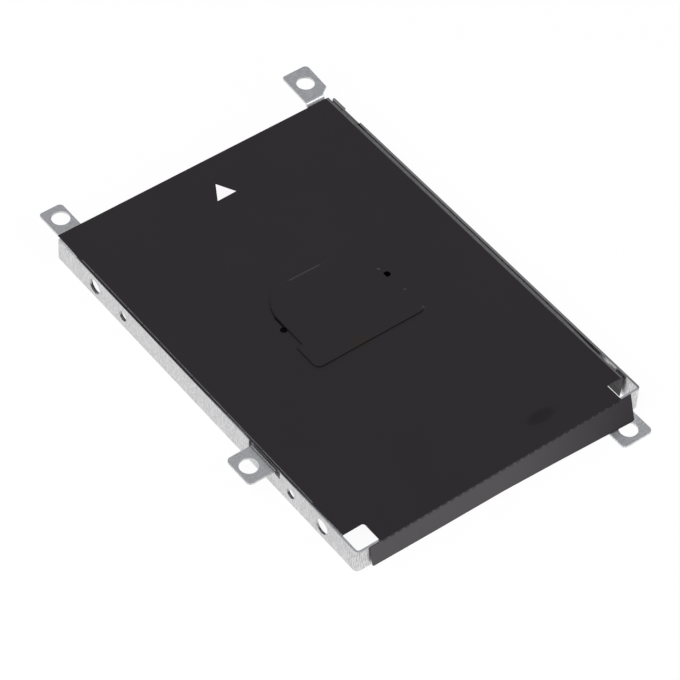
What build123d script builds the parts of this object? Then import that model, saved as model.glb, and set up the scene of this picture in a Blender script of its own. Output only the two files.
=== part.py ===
from build123d import *
import math
import os

# Notebook drive mounting caddy: a folded steel frame with four screw ears, covered by a black film.
# Millimetres. X runs across the drive, +Y points to the drive's connector end, +Z is up.
# The origin is midway between the walls and midway between the side screws, on the bottom plane.

# The drive that the caddy holds
DRIVE_WIDTH = 69.85
DRIVE_SCREW_PITCH = 76.6
DRIVE_SIDE_SLACK = 0.075

# Film and adhesive
FILM = 0.15
ADHESIVE = 0.1

# Folded sheet. Bends are given by the radius of their hollow side.
SHEET = 0.5
EAR_BEND = 0.3
LEFT_CORNER_BEND = 0.6
RIGHT_CORNER_BEND = 0.3
WALL_HEIGHT = 5.8
FRONT_TO_SCREW = 11.0
SCREW_TO_LEFT_END = 13.1
SCREW_TO_RIGHT_END = 13.0
RELIEF_BELOW_BEND = 0.3

# Holes in both side walls
SIDE_HOLE_HEIGHT = 2.9
SIDE_SCREW_HOLE = 3.6
SIDE_PILOT_HOLE = 2.4
SCREW_TO_PILOT = 10.0

# Ears, each with one clearance hole. Reaches and insets run from a wall's outer face.
EAR_HOLE = 4.0
EAR_CORNER = 1.0

LEFT_EAR_TOP = 5.0
LEFT_EAR_REACH = 6.2
LEFT_EAR_WIDTH = 7.8
LEFT_EAR_FROM_SCREW = 19.0
LEFT_EAR_HOLE_REACH = 3.46
LEFT_EAR_NEAR_RELIEF = 1.6
LEFT_EAR_FAR_RELIEF = 0.8

FRONT_EAR_REACH = 6.8
FRONT_EAR_WIDTH = 7.6
FRONT_EAR_SIDE_INSET = 1.9
FRONT_EAR_HOLE_REACH = 3.65
FRONT_EAR_RELIEF = 0.4

# Flanges near the far end, folded inwards at the top of the walls and carried on as ears
LEFT_FLANGE_LENGTH = 6.5
LEFT_FLANGE_REACH = 6.2
LEFT_FAR_EAR_INSET = 0.65
LEFT_FAR_EAR_LENGTH = 8.0
LEFT_FAR_EAR_HOLE_INSET = 3.75
LEFT_FAR_EAR_HOLE_FROM_TIP = 3.5
LEFT_FAR_EAR_OUTER_CORNER = 0.6

RIGHT_FLANGE_LENGTH = 5.2
RIGHT_FLANGE_REACH = 6.6
RIGHT_FLANGE_BEFORE_END = 4.0
RIGHT_NECK_INSET = 2.0
JOGGLE_RISE = 1.1
JOGGLE_RUN = 0.45
JOGGLE_PAST_FILM = 0.05
RIGHT_FAR_EAR_LENGTH = 9.9
RIGHT_FAR_EAR_SKEW = 0.5
RIGHT_FAR_EAR_INNER_CORNER = 0.6
RIGHT_FAR_EAR_OUTER_CORNER = 1.0
RIGHT_FAR_EAR_HOLE_INSET = 3.05
RIGHT_FAR_EAR_HOLE_FROM_TIP = 4.35
SHOULDER_FROM_JOGGLE = 0.9
SHOULDER_LENGTH = 1.3

# Film: a top panel, two side flaps and a front flap
FILM_PAST_LEFT_END = 0.6
FILM_FOLD = 0.3
SIDE_FLAP_BOTTOM = 0.6
SIDE_FLAP_END_GAP = 0.25
LEFT_FLAP_FROM_FRONT = 14.0
SCREW_CLEARANCE = 0.3
LEFT_WINDOW_INSET = 5.5
LEFT_WINDOW_LENGTH = 5.15
LEFT_WINDOW_CORNER = 0.6
RIGHT_WINDOW_INSET = 5.3
RIGHT_WINDOW_LENGTH = 4.2
RIGHT_WINDOW_CORNER = 0.3
FOLD_NOTCH_LENGTH = 4.4
FOLD_NOTCH_FROM_FRONT = 7.2
FOLD_NOTCH_WIDTH = 0.5
FOLD_NOTCH_DEPTH = 1.6
FRONT_FOLD_GAP = 0.1
FRONT_FLAP_LENGTH = 5.75
FRONT_FLAP_TOP_INSET = 2.9
FRONT_FLAP_BOTTOM_INSET = 3.5
# The front flap stands off the wall more and more to the right: share of its width and degrees
FRONT_FLAP_FLARE = ((0.0, 4.5), (0.25, 7.0), (0.5, 8.5), (0.7, 14.0), (0.88, 21.0), (1.0, 27.0))

# Pull tab, glued by its wide base on top of the film
TAB_CENTRE_INSET = 35.8
TAB_FROM_FRONT = 41.3
TAB_BASE_WIDTH = 27.9
TAB_BASE_LENGTH = 6.8
TAB_BASE_CORNER = 1.5
TAB_WIDTH = 25.0
TAB_LENGTH = 22.3
TAB_END_CORNER = 7.0
RELIEF_HOLE = 1.5
RELIEF_HOLE_SPACING = 26.4
RELIEF_HOLE_FROM_FRONT = 53.5
SLIT_WIDTH = 0.4
SLIT_LENGTH = 3.8

# Adhesive stops short of the edges that it holds. Beside the flaps it is a strip low on the wall.
ADHESIVE_EDGE = 0.25
SIDE_ADHESIVE_TOP = 3.8

# Places that follow from the sizes above
INNER_X = DRIVE_WIDTH / 2 + DRIVE_SIDE_SLACK + FILM + ADHESIVE
OUTER_X = INNER_X + SHEET
SCREW_Y = DRIVE_SCREW_PITCH / 2
FRONT_Y = -SCREW_Y - FRONT_TO_SCREW
LEFT_END_Y = SCREW_Y + SCREW_TO_LEFT_END
RIGHT_END_Y = SCREW_Y + SCREW_TO_RIGHT_END
LEFT_FLANGE_Y = LEFT_END_Y - LEFT_FLANGE_LENGTH
RIGHT_FLANGE_END_Y = RIGHT_END_Y - RIGHT_FLANGE_BEFORE_END
RIGHT_FLANGE_Y = RIGHT_FLANGE_END_Y - RIGHT_FLANGE_LENGTH
FILM_X = INNER_X - ADHESIVE
FILM_Z = WALL_HEIGHT + ADHESIVE
FILM_TOP = FILM_Z + FILM
FILM_END_Y = LEFT_END_Y + FILM_PAST_LEFT_END
FRONT_FOLD_Y = FRONT_Y - FRONT_FOLD_GAP
LEFT_FLAP_END_Y = LEFT_FLANGE_Y - SIDE_FLAP_END_GAP
RIGHT_FLAP_END_Y = RIGHT_FLANGE_Y - SIDE_FLAP_END_GAP
LEFT_FLAP_Y = FRONT_Y + LEFT_FLAP_FROM_FRONT
RIGHT_FLAP_Y = FRONT_Y + RIGHT_WINDOW_LENGTH
TAB_X = TAB_CENTRE_INSET - OUTER_X
TAB_Y = FRONT_Y + TAB_FROM_FRONT


def block(x_range, y_range, z_range):
    """A box between two corners."""
    ranges = (x_range, y_range, z_range)
    low_corner = [low for low, high in ranges]
    size = [high - low for low, high in ranges]
    return Pos(*low_corner) * Box(*size, align=(Align.MIN, Align.MIN, Align.MIN))


def plate(points, height, thickness):
    """A flat plate with the given outline, its underside at the given height."""
    outline = make_face(Polyline(*points, close=True))
    return Pos(0, 0, height) * extrude(outline, amount=thickness, dir=(0, 0, 1))


def round_upright(solid, radius, chosen):
    """Rounds the upright edges that chosen picks by their middle point."""
    edges = [edge for edge in solid.edges().filter_by(Axis.Z) if chosen(edge.center())]
    return fillet(edges, radius)


def hole_x(diameter, y, z):
    """A cutter for the same hole in both side walls."""
    return Pos(0, y, z) * Rot(0, 90, 0) * Cylinder(diameter / 2, 3 * OUTER_X)


def hole_z(diameter, x, y, z):
    """A cutter for a hole in a level plate at height z."""
    return Pos(x, y, z) * Cylinder(diameter / 2, 4 * SHEET)


def sheet_section(points, radius, thickness, side):
    """The section of a bent sheet: a line with rounded corners, thickened to one side."""
    line = FilletPolyline(*points, radius=radius)
    return make_face(offset(line, amount=thickness, side=side).edges())


def bent_strip(plane, leg, level, reach, width):
    """A strip that leaves a wall: a leg along the wall, a bend, then a level part.

    plane stands on the wall face that is hollow at the bend. Its x points the way the level part
    goes, its y points up. leg is the height of the leg's free end, level that of the hollow side.
    The strip is as wide as width, towards +X or +Y.
    """
    side = Side.LEFT if leg < level else Side.RIGHT
    section = plane * sheet_section([(0, leg), (0, level), (reach, level)], EAR_BEND, SHEET, side)
    across = Vector(*(abs(part) for part in plane.z_dir))
    return extrude(section, amount=width, dir=across)


def walls():
    """The left, front and right wall: one band with two bent corners."""
    corners = [
        (-INNER_X, LEFT_END_Y),
        (-INNER_X, FRONT_Y + SHEET),
        (INNER_X, FRONT_Y + SHEET),
        (INNER_X, RIGHT_END_Y),
    ]
    plan = sheet_section(corners, [LEFT_CORNER_BEND, RIGHT_CORNER_BEND], SHEET, Side.RIGHT)
    band = extrude(plan, amount=WALL_HEIGHT, dir=(0, 0, 1))
    for y in (-SCREW_Y, SCREW_Y):
        pilot_y = y - math.copysign(SCREW_TO_PILOT, y)
        band -= hole_x(SIDE_SCREW_HOLE, y, SIDE_HOLE_HEIGHT)
        band -= hole_x(SIDE_PILOT_HOLE, pilot_y, SIDE_HOLE_HEIGHT)
    return band


def left_ear(band):
    """Adds the ear that is bent outwards from the left wall, between two relief notches."""
    middle_y = -SCREW_Y + LEFT_EAR_FROM_SCREW
    near_y = middle_y - LEFT_EAR_WIDTH / 2
    far_y = middle_y + LEFT_EAR_WIDTH / 2
    level = LEFT_EAR_TOP - SHEET
    notch_z = level - EAR_BEND - RELIEF_BELOW_BEND
    band -= block(
        (-OUTER_X - SHEET, -INNER_X + SHEET),
        (near_y - LEFT_EAR_NEAR_RELIEF, far_y + LEFT_EAR_FAR_RELIEF),
        (notch_z, WALL_HEIGHT + SHEET),
    )
    plane = Plane(origin=(-OUTER_X, near_y, 0), x_dir=(-1, 0, 0), z_dir=(0, 1, 0))
    ear = bent_strip(plane, notch_z, level, LEFT_EAR_REACH, LEFT_EAR_WIDTH)
    ear = round_upright(ear, EAR_CORNER, lambda p: p.X < -OUTER_X - LEFT_EAR_REACH / 2)
    ear -= hole_z(EAR_HOLE, -OUTER_X - LEFT_EAR_HOLE_REACH, middle_y, level)
    return band + ear


def front_ear(band):
    """Adds the ear that is bent outwards at the bottom of the front wall."""
    far_x = OUTER_X - FRONT_EAR_SIDE_INSET
    near_x = far_x - FRONT_EAR_WIDTH
    notch_z = SHEET + EAR_BEND + RELIEF_BELOW_BEND
    band -= block(
        (near_x - FRONT_EAR_RELIEF, far_x + FRONT_EAR_RELIEF),
        (FRONT_Y - SHEET, FRONT_Y + 2 * SHEET),
        (-SHEET, notch_z),
    )
    plane = Plane(origin=(near_x, FRONT_Y, 0), x_dir=(0, -1, 0), z_dir=(-1, 0, 0))
    ear = bent_strip(plane, notch_z, SHEET, FRONT_EAR_REACH, FRONT_EAR_WIDTH)
    ear = round_upright(ear, EAR_CORNER, lambda p: p.Y < FRONT_Y - FRONT_EAR_REACH / 2)
    ear -= hole_z(EAR_HOLE, (near_x + far_x) / 2, FRONT_Y - FRONT_EAR_HOLE_REACH, SHEET)
    return band + ear


def flange(side, start_y, end_y, reach):
    """The inward top flange of the left (-1) or right (+1) wall, and the piece of wall it replaces."""
    level = WALL_HEIGHT - SHEET
    leg = level - EAR_BEND - RELIEF_BELOW_BEND
    plane = Plane(origin=(side * INNER_X, start_y, 0), x_dir=(-side, 0, 0), z_dir=(0, side, 0))
    strip = bent_strip(plane, leg, level, reach - SHEET, end_y - start_y)
    x_range = sorted((side * (INNER_X - SHEET), side * (OUTER_X + SHEET)))
    return strip, block(x_range, (start_y, end_y), (leg, WALL_HEIGHT + SHEET))


def far_left_ear(band):
    """Adds the left flange, which runs straight on as an ear."""
    strip, cut = flange(-1, LEFT_FLANGE_Y, LEFT_END_Y, LEFT_FLANGE_REACH)
    tip_y = LEFT_END_Y + LEFT_FAR_EAR_LENGTH
    tip_x = LEFT_FLANGE_REACH - OUTER_X
    level = WALL_HEIGHT - SHEET
    side_x = LEFT_FAR_EAR_INSET - OUTER_X
    ear = block((side_x, tip_x), (LEFT_END_Y, tip_y), (level, WALL_HEIGHT))
    at_tip = tip_y - SHEET
    ear = round_upright(ear, EAR_CORNER, lambda p: p.X > side_x + SHEET and p.Y > at_tip)
    ear = round_upright(ear, LEFT_FAR_EAR_OUTER_CORNER, lambda p: p.X < side_x + SHEET and p.Y > at_tip)
    hole_y = tip_y - LEFT_FAR_EAR_HOLE_FROM_TIP
    ear -= hole_z(EAR_HOLE, LEFT_FAR_EAR_HOLE_INSET - OUTER_X, hole_y, level)
    return band - cut + strip + ear


def far_right_ear(band):
    """Adds the right flange, which steps up past the film's edge and runs on as an ear."""
    strip, cut = flange(1, RIGHT_FLANGE_Y, RIGHT_FLANGE_END_Y, RIGHT_FLANGE_REACH)
    level = WALL_HEIGHT - SHEET
    joggle_y = FILM_END_Y + JOGGLE_PAST_FILM
    tip_y = joggle_y + RIGHT_FAR_EAR_LENGTH
    half_turn = math.atan2(JOGGLE_RISE, JOGGLE_RUN) / 2
    foot_y = joggle_y + SHEET * math.tan(half_turn)
    inner_x = OUTER_X - RIGHT_FLANGE_REACH
    underside = [
        (RIGHT_FLANGE_Y, level),
        (foot_y, level),
        (foot_y + JOGGLE_RUN, level + JOGGLE_RISE),
        (tip_y + SHEET, level + JOGGLE_RISE),
    ]
    plane = Plane(origin=(inner_x, 0, 0), x_dir=(0, 1, 0), z_dir=(1, 0, 0))
    section = plane * sheet_section(underside, [EAR_BEND + SHEET, EAR_BEND], SHEET, Side.LEFT)
    ear = extrude(section, amount=RIGHT_FLANGE_REACH + 2 * RIGHT_FAR_EAR_SKEW, dir=(1, 0, 0))
    neck_x = OUTER_X - RIGHT_NECK_INSET
    shoulder_y = joggle_y + SHOULDER_FROM_JOGGLE
    outline = plate(
        [
            (inner_x, RIGHT_FLANGE_Y),
            (inner_x, joggle_y),
            (inner_x + RIGHT_FAR_EAR_SKEW, tip_y),
            (OUTER_X + RIGHT_FAR_EAR_SKEW, tip_y),
            (OUTER_X, shoulder_y + SHOULDER_LENGTH),
            (neck_x, shoulder_y),
            (neck_x, RIGHT_FLANGE_Y),
        ],
        0,
        2 * WALL_HEIGHT,
    )
    at_tip = tip_y - SHEET
    outline = round_upright(outline, RIGHT_FAR_EAR_INNER_CORNER, lambda p: p.X < neck_x and p.Y > at_tip)
    outline = round_upright(outline, RIGHT_FAR_EAR_OUTER_CORNER, lambda p: p.X > neck_x and p.Y > at_tip)
    ear = ear & outline
    hole_y = tip_y - RIGHT_FAR_EAR_HOLE_FROM_TIP
    ear -= hole_z(EAR_HOLE, OUTER_X - RIGHT_FAR_EAR_HOLE_INSET, hole_y, level + JOGGLE_RISE)
    return band - cut + strip + ear


def caddy_frame():
    """The whole folded sheet."""
    frame = walls()
    for add_ear in (left_ear, front_ear, far_left_ear, far_right_ear):
        frame = add_ear(frame)
    return frame


def front_flap():
    """The film's front flap: a strip that hangs from its fold and twists away from the wall.

    Its two ends lean inwards from the fold to the lower edge.
    """
    left_x = FRONT_FLAP_TOP_INSET - OUTER_X
    width = -2 * left_x
    sections = []
    for share, degrees in FRONT_FLAP_FLARE:
        down = Vector(-math.sin(math.radians(degrees)), -math.cos(math.radians(degrees)))
        out = Vector(-math.cos(math.radians(degrees)), math.sin(math.radians(degrees)))
        fold = Vector(FRONT_FOLD_Y, FILM_Z)
        crown = Vector(FRONT_FOLD_Y, FILM_TOP)
        middle = math.radians((90 + degrees) / 2)
        crest = fold + Vector(-math.cos(middle), math.sin(middle)) * FILM
        tip = fold + down * FRONT_FLAP_LENGTH
        across = Plane(origin=(left_x + share * width, 0, 0), x_dir=(0, 1, 0), z_dir=(1, 0, 0))
        with BuildSketch(across) as section:
            with BuildLine():
                Line(crown, fold)
                Line(fold, tip)
                Line(tip, tip + out * FILM)
                Line(tip + out * FILM, fold + out * FILM)
                ThreePointArc(fold + out * FILM, crest, crown)
            make_face()
        sections.append(section.sketch)
    bottom_x = OUTER_X - FRONT_FLAP_BOTTOM_INSET
    lean = (FRONT_FLAP_BOTTOM_INSET - FRONT_FLAP_TOP_INSET) / FRONT_FLAP_LENGTH
    top_x = bottom_x + lean * FILM_TOP
    front = Plane(origin=(0, 0, 0), x_dir=(1, 0, 0), z_dir=(0, -1, 0))
    corners = [(-bottom_x, 0), (bottom_x, 0), (top_x, FILM_TOP), (-top_x, FILM_TOP)]
    outline = front * make_face(Polyline(*corners, close=True))
    return loft(sections) & extrude(outline, amount=2 * OUTER_X, dir=(0, -1, 0))


def insulating_film():
    """The die-cut film: panel and side flaps from one section, then the cuts and the front flap."""
    outside = [
        (-FILM_X, SIDE_FLAP_BOTTOM),
        (-FILM_X, FILM_TOP),
        (FILM_X, FILM_TOP),
        (FILM_X, SIDE_FLAP_BOTTOM),
    ]
    plane = Plane(origin=(0, FRONT_FOLD_Y, 0), x_dir=(-1, 0, 0), z_dir=(0, 1, 0))
    section = plane * sheet_section(outside, FILM_FOLD, FILM, Side.RIGHT)
    film = extrude(section, amount=FILM_END_Y - FRONT_FOLD_Y, dir=(0, 1, 0))

    outside_x = (FILM_X - FILM_FOLD, OUTER_X)
    left_x = (-OUTER_X, -FILM_X + FILM_FOLD)
    below_panel = (0, FILM_Z)
    through = (0, 2 * FILM_TOP)
    film -= block(left_x, (FRONT_FOLD_Y - FILM, LEFT_FLAP_Y), below_panel)
    film -= block(outside_x, (FRONT_FOLD_Y - FILM, RIGHT_FLAP_Y), below_panel)
    for x_range, end_y in ((left_x, LEFT_FLAP_END_Y), (outside_x, RIGHT_FLAP_END_Y)):
        film -= block(x_range, (end_y, FILM_END_Y + FILM), below_panel)

    left_window = block(
        (-2 * OUTER_X, LEFT_WINDOW_INSET - OUTER_X),
        (FRONT_FOLD_Y - OUTER_X, FRONT_Y + LEFT_WINDOW_LENGTH),
        through,
    )
    right_window = block(
        (OUTER_X - RIGHT_WINDOW_INSET, 2 * OUTER_X),
        (FRONT_FOLD_Y - OUTER_X, FRONT_Y + RIGHT_WINDOW_LENGTH),
        through,
    )
    for window, corner in ((left_window, LEFT_WINDOW_CORNER), (right_window, RIGHT_WINDOW_CORNER)):
        film -= round_upright(window, corner, lambda p: abs(p.X) < OUTER_X and p.Y > FRONT_Y)

    notch_y = FRONT_Y + FOLD_NOTCH_FROM_FRONT
    film -= block(
        (FILM_X - FOLD_NOTCH_WIDTH, OUTER_X),
        (notch_y, notch_y + FOLD_NOTCH_LENGTH),
        (FILM_TOP - FOLD_NOTCH_DEPTH, 2 * FILM_TOP),
    )
    for cutter in screw_clearances():
        film -= cutter
    for side in (-1, 1):
        relief_x = TAB_X + side * RELIEF_HOLE_SPACING / 2
        relief_y = FRONT_Y + RELIEF_HOLE_FROM_FRONT
        slit_x = TAB_X + side * (TAB_WIDTH + SLIT_WIDTH) / 2
        film -= hole_z(RELIEF_HOLE, relief_x, relief_y, FILM_TOP)
        film -= block(
            (slit_x - SLIT_WIDTH / 2, slit_x + SLIT_WIDTH / 2),
            (relief_y, relief_y + SLIT_LENGTH),
            (FILM_Z - FILM, FILM_TOP + FILM),
        )
    return film + front_flap()


def screw_clearances():
    """Cutters that keep the side flaps and their adhesive clear of the side holes."""
    cutters = []
    for y in (-SCREW_Y, SCREW_Y):
        pilot_y = y - math.copysign(SCREW_TO_PILOT, y)
        cutters.append(hole_x(SIDE_SCREW_HOLE + 2 * SCREW_CLEARANCE, y, SIDE_HOLE_HEIGHT))
        cutters.append(hole_x(SIDE_PILOT_HOLE + 2 * SCREW_CLEARANCE, pilot_y, SIDE_HOLE_HEIGHT))
    return cutters


def pull_tab():
    """The pull tab: a wide base and a narrower, round-cornered end."""
    height = FILM_TOP + ADHESIVE
    base_x = (TAB_X - TAB_BASE_WIDTH / 2, TAB_X + TAB_BASE_WIDTH / 2)
    end_x = (TAB_X - TAB_WIDTH / 2, TAB_X + TAB_WIDTH / 2)
    base = block(base_x, (TAB_Y, TAB_Y + TAB_BASE_LENGTH), (height, height + FILM))
    base = round_upright(base, TAB_BASE_CORNER, lambda p: p.Y < TAB_Y + TAB_BASE_LENGTH / 2)
    end = block(end_x, (TAB_Y + TAB_BASE_LENGTH / 2, TAB_Y + TAB_LENGTH), (height, height + FILM))
    end = round_upright(end, TAB_END_CORNER, lambda p: p.Y > TAB_Y + TAB_BASE_LENGTH)
    return base + end


def tab_adhesive():
    """The adhesive under the tab's base."""
    half_width = TAB_BASE_WIDTH / 2 - ADHESIVE_EDGE
    pad = block(
        (TAB_X - half_width, TAB_X + half_width),
        (TAB_Y + ADHESIVE_EDGE, TAB_Y + TAB_BASE_LENGTH - ADHESIVE_EDGE),
        (FILM_TOP, FILM_TOP + ADHESIVE),
    )
    corner = TAB_BASE_CORNER - ADHESIVE_EDGE
    return round_upright(pad, corner, lambda p: p.Y < TAB_Y + TAB_BASE_LENGTH / 2)


def flap_adhesive(side):
    """The adhesive between a side flap and its wall, from screw to screw."""
    screw_clear = SIDE_SCREW_HOLE / 2 + SCREW_CLEARANCE + ADHESIVE_EDGE
    strip = block(
        sorted((side * FILM_X, side * INNER_X)),
        (LEFT_FLAP_Y + ADHESIVE_EDGE, SCREW_Y - screw_clear),
        (SIDE_FLAP_BOTTOM + ADHESIVE_EDGE, SIDE_ADHESIVE_TOP),
    )
    for cutter in screw_clearances():
        strip -= cutter
    return strip


def left_flange_adhesive():
    """The adhesive between the film and the left flange."""
    return block(
        (-INNER_X + EAR_BEND + ADHESIVE_EDGE, LEFT_FLANGE_REACH - OUTER_X - ADHESIVE_EDGE),
        (LEFT_FLANGE_Y + ADHESIVE_EDGE, LEFT_END_Y),
        (WALL_HEIGHT, FILM_Z),
    )


def right_flange_adhesive():
    """The adhesive between the film and the right flange."""
    return block(
        (OUTER_X - RIGHT_FLANGE_REACH + ADHESIVE_EDGE, OUTER_X - RIGHT_NECK_INSET),
        (RIGHT_FLANGE_Y + ADHESIVE_EDGE, FILM_END_Y - ADHESIVE_EDGE),
        (WALL_HEIGHT, FILM_Z),
    )


os.makedirs("parts", exist_ok=True)
nodes = {
    "caddy_frame": caddy_frame(),
    "insulating_film": insulating_film(),
    "pull_tab": pull_tab(),
    "tab_adhesive": tab_adhesive(),
    "left_flap_adhesive": flap_adhesive(-1),
    "right_flap_adhesive": flap_adhesive(1),
    "left_flange_adhesive": left_flange_adhesive(),
    "right_flange_adhesive": right_flange_adhesive(),
}
for name, shape in nodes.items():
    export_step(shape, f"parts/{name}.step")
    print(name, len(shape.solids()), "solid", round(shape.volume, 2), "mm3", shape.is_valid)
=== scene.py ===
# %% [markdown]
# # A notebook drive caddy: folded steel under a black film
# The steel frame comes from the CAD model and stays as it is: Blender only gives it a finish. The
# film, its pull tab and the printed arrow are thin and soft, so they are modelled here, on top of
# the places that the CAD solids hold. Meshes are drawn in millimetres and scaled to metres at the
# end. X runs from the left wall to the right one, Y from the front wall to the far end.

# %% Load the frame
import math
import random

import bmesh
import bpy
from mathutils import Matrix, Vector, noise


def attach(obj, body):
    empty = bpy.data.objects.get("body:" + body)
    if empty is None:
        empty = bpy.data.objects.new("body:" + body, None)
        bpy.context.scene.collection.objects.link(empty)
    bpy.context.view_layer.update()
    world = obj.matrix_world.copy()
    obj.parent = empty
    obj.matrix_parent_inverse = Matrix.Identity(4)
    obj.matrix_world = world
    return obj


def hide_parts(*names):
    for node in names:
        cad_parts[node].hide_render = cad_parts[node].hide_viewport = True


MM = 0.001  # a millimetre in metres
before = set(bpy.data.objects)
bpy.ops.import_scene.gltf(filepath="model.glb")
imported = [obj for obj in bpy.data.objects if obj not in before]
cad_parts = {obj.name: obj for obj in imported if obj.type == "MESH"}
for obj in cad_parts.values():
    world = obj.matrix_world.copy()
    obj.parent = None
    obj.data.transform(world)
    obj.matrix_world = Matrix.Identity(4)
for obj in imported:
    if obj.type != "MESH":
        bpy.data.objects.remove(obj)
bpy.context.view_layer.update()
print("CAD nodes:", sorted(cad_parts))

# %% [markdown]
# ## Shader maths as plain Python
# A finish is a small network of nodes. Wiring it by hand hides the idea, so one class wraps the
# output of a node and lets `+ - * /` and comparisons add Math nodes. A comparison gives 1 or 0, so
# it works as a mask, and the product of two masks is the place where both hold.

# %% An output that can be calculated with
class Wire:
    def __init__(self, finish, socket):
        self.finish = finish
        self.socket = socket

    def __add__(self, other):
        return self.finish.math("ADD", self, other)

    def __sub__(self, other):
        return self.finish.math("SUBTRACT", self, other)

    def __rsub__(self, other):
        return self.finish.math("SUBTRACT", other, self)

    def __mul__(self, other):
        return self.finish.math("MULTIPLY", self, other)

    def __truediv__(self, other):
        return self.finish.math("DIVIDE", self, other)

    def __rtruediv__(self, other):
        return self.finish.math("DIVIDE", other, self)

    def __gt__(self, other):
        return self.finish.math("GREATER_THAN", self, other)

    def __lt__(self, other):
        return self.finish.math("LESS_THAN", self, other)

    def __abs__(self):
        return self.finish.math("ABSOLUTE", self)

    def within(self, low, high):
        """A mask: 1 between two limits, 0 outside of them."""
        return (self > low) * (self < high)

    # A sum and a product are the same both ways round.
    __radd__ = __add__
    __rmul__ = __mul__


print("a wire knows + - * / > < abs and within")

# %% [markdown]
# ## Nodes of a material or of the world
# One method adds any node: its type, its settings, and then the values or links of its sockets. The
# others are built on it: maths, places in millimetres, a noise, and a blend of two colours.

# %% Nodes from Python
class Finish:
    """The nodes of a material or a world, which ends in the named shader."""

    def __init__(self, data, shader="Principled BSDF"):
        self.data = data
        self.data.use_nodes = True
        self.tree = self.data.node_tree
        self.shader = self.tree.nodes[shader]

    def node(self, kind, settings=None, values=(), output=0):
        made = self.tree.nodes.new(kind)
        for key, value in (settings or {}).items():
            setattr(made, key, value)
        named = values.items() if isinstance(values, dict) else enumerate(values)
        for key, value in named:
            self.put(made.inputs[key], value)
        return Wire(self, made.outputs[output])

    def put(self, socket, value):
        if isinstance(value, Wire):
            self.tree.links.new(value.socket, socket)
        else:
            socket.default_value = value

    def set(self, **values):
        for key, value in values.items():
            self.put(self.shader.inputs[key.replace("_", " ")], value)

    def math(self, operation, *values):
        return self.node("ShaderNodeMath", {"operation": operation}, values)

    def parts(self, kind, names, values=()):
        """Adds one node and gives several of its outputs."""
        sockets = self.node(kind, values=values).socket.node.outputs
        return [Wire(self, sockets[name]) for name in names]

    def axes(self):
        """Object coordinates in millimetres, one wire for each axis."""
        place = self.node("ShaderNodeTexCoord", output="Object")
        return [axis * (1 / MM) for axis in self.parts("ShaderNodeSeparateXYZ", "XYZ", [place])]

    def facing(self):
        """The surface's own direction, one wire for each axis."""
        direction = self.node("ShaderNodeTexCoord", output="Normal")
        return self.parts("ShaderNodeSeparateXYZ", "XYZ", [direction])

    def noise(self, x, y, z, scale, detail, roughness=0.5):
        """A noise pattern, from 0 to 1, at the place x, y, z in millimetres."""
        place = self.node("ShaderNodeCombineXYZ", values=[x, y, z])
        settings = {"noise_dimensions": "3D"}
        values = {"Vector": place, "Scale": scale, "Detail": detail, "Roughness": roughness}
        return self.node("ShaderNodeTexNoise", settings, values)

    def blend(self, share, low, high):
        """A colour between low and high. Inputs 0, 6 and 7 of Mix are its factor and colours."""
        low, high = [(*c, 1) if isinstance(c, tuple) else c for c in (low, high)]
        settings = {"data_type": "RGBA", "clamp_factor": True}
        return self.node("ShaderNodeMix", settings, {0: share, 6: low, 7: high}, output=2)

    def bump(self, height, strength, distance):
        values = {"Height": height, "Strength": strength, "Distance": distance}
        return self.node("ShaderNodeBump", values=values)


print("shader helpers ready")

# %% [markdown]
# ## Galvanised steel
# Level faces also get a bluer zinc colour than upright ones: a painted reflection of the sky above.
# The frame is cut and folded from bright zinc-coated strip. Its rolling grain runs upright on the
# walls, across the strip, and carries on along X where a wall is folded over into an ear. So the
# grain is a noise that is stretched along Z on the walls and along X on level faces, and the
# surface's own direction picks one of the two. A coarser noise gives the zinc's faint mottling.
#
# Four places differ. At the right flange's tight fold the zinc is painted dark grey: painted shade.
# The sheared top of the right wall is painted dark grey as well: its bare steel is a little darker,
# and the rest is painted shade from the film's fold beside it. The zinc in the left ear's bend is
# matt. In the narrow gap beside the film's far right edge the wall is painted near black: painted
# shade, with a painted reflection of the dark film.

# %% Steel finish
GRAIN_ACROSS, GRAIN_ALONG = 6, 0.7  # waves in a millimetre
GRAIN_SHARE = 0.6  # the rest of the shade is mottling
MOTTLE = 2.4
SPECKLE = {"detail": 3.0, "roughness": 0.6}
DARKEST, CONTRAST = 0.34, 3.4
NEAR_END_Y, NEAR_CONTRAST = -46.5, 2.4  # nearer than this, the walls' grain shows more
ZINC_UPRIGHT = (0.455, 0.455, 0.462), (0.795, 0.795, 0.805)
# level faces are tinted bluer than upright ones: a painted reflection of the sky
ZINC_LEVEL_SKY_TINT = (0.50, 0.515, 0.55), (0.76, 0.775, 0.81)
# painted shade: dark grey for the right wall's sheared top, which is partly its darker bare steel,
# and for the right flange's fold
TOP_EDGE_STEEL_AND_SHADE, FOLD_PAINTED_SHADE = (0.36, 0.36, 0.37), (0.2, 0.2, 0.21)
# painted shade and a painted reflection of the dark film, on the wall in the gap beside the film's
# far right edge
GAP_PAINTED_SHADE = (0.03, 0.03, 0.03)
# A lean of 1 is a level face and 0 an upright one.
LEVEL_LEAN, FOLD_LEAN, TOP_LEAN, BEND_LEAN = 0.6, 0.15, 0.97, (0.1, 0.97)
FLANGE_X, FLANGE_Y = 34.5, (41.9, 47.4)
WALL_TOP_X, WALL_TOP_Z = 35.24, (5.7, 5.85)
GAP_X, GAP_Y, GAP_Z = (34.9, 35.3), 40, 5.75
EAR_X, EAR_Y, EAR_Z = -35.24, (-24, -15), 4.1
MATT = 0.85


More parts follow.
